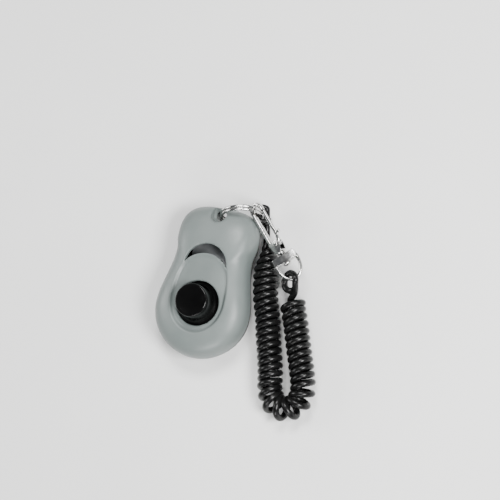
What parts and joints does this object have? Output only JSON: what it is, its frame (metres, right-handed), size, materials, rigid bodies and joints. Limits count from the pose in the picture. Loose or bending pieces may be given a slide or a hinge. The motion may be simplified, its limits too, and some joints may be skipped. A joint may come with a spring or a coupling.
{
  "type": "clicker trainer",
  "caption": "Hand-held push-button clicker for pet training, with a split ring, a swivel snap hook and a spiral wrist cord.",
  "frame": {"origin": "centre of the casing's flat back face", "axes": "+Y along the casing towards the lanyard hole, +Z out of the back through the button"},
  "size_m": [0.0679, 0.0789, 0.0224],
  "materials": {
    "grey_shell": "soft satin, blue-grey",
    "black_shell": "satin",
    "button_gloss": "polished",
    "plated_steel": "bright nickel plate",
    "spring_steel": "rolled",
    "cord_plastic": "smooth, semi-gloss"
  },
  "bodies": {
    "root": {"top_casing": "grey_shell", "bottom_casing": "black_shell", "casing_screw_1": "spring_steel", "casing_screw_2": "spring_steel", "casing_screw_3": "spring_steel", "reed_frame": "spring_steel", "reed_rivet_left": "spring_steel", "reed_rivet_right": "spring_steel"},
    "button": {"button_cap": "button_gloss"},
    "reed": {"click_reed": "spring_steel"},
    "ring": {"split_ring": "plated_steel"},
    "hook": {"snap_hook_body": "plated_steel", "gate_pin": "plated_steel", "gate_spring": "spring_steel", "swivel_stem": "plated_steel"},
    "gate": {"snap_gate": "plated_steel"},
    "swivel": {"swivel_loop": "plated_steel"},
    "cord": {"wrist_coil": "cord_plastic", "cord_end_loop_swivel": "cord_plastic", "cord_end_loop_ring": "cord_plastic"}
  },
  "joints": [
    {"name": "button_press", "type": "slide", "parent": "root", "child": "button", "axis": [0, 0, -1], "range_m": [0, 0.002], "stiffness_N_per_m": 500, "springref_m": -0.004},
    {"name": "reed_flex", "type": "hinge", "parent": "root", "child": "reed", "pos_m": [0, 0.016, 0.0095], "axis": [1, 0, 0], "range_deg": [0, 4.6]},
    {"name": "ring_swing", "type": "hinge", "parent": "root", "child": "ring", "pos_m": [0, 0.0254, 0.0088], "axis": [0, 0, 1], "range_deg": [0, 60]},
    {"name": "hook_swing", "type": "hinge", "parent": "ring", "child": "hook", "pos_m": [0.01398, 0.02923, 0.00781], "axis": [0, 0, 1], "range_deg": [0, 6]},
    {"name": "gate_open", "type": "hinge", "parent": "hook", "child": "gate", "pos_m": [0.02457, 0.01905, 0.0107], "axis": [-0.3281, -0.3823, 0.8638], "range_deg": [0, 13], "stiffness_Nm_per_rad": 0.002, "springref_deg": -28.65},
    {"name": "swivel_spin", "type": "hinge", "parent": "hook", "child": "swivel", "pos_m": [0.0282, 0.0139, 0.0098], "axis": [-0.6713, 0.7377, 0.0715], "range_deg": [0, 10]},
    {"name": "cord_lift", "type": "hinge", "parent": "hook", "child": "cord", "pos_m": [0.03173, 0.00671, 0.00925], "axis": [-0.618, 0.7809, -0.0912], "range_deg": [0, 6]}
  ],
  "couplings": [
    {"joint": "reed_flex", "follows": "button_press", "rad_per_m": 40}
  ]
}
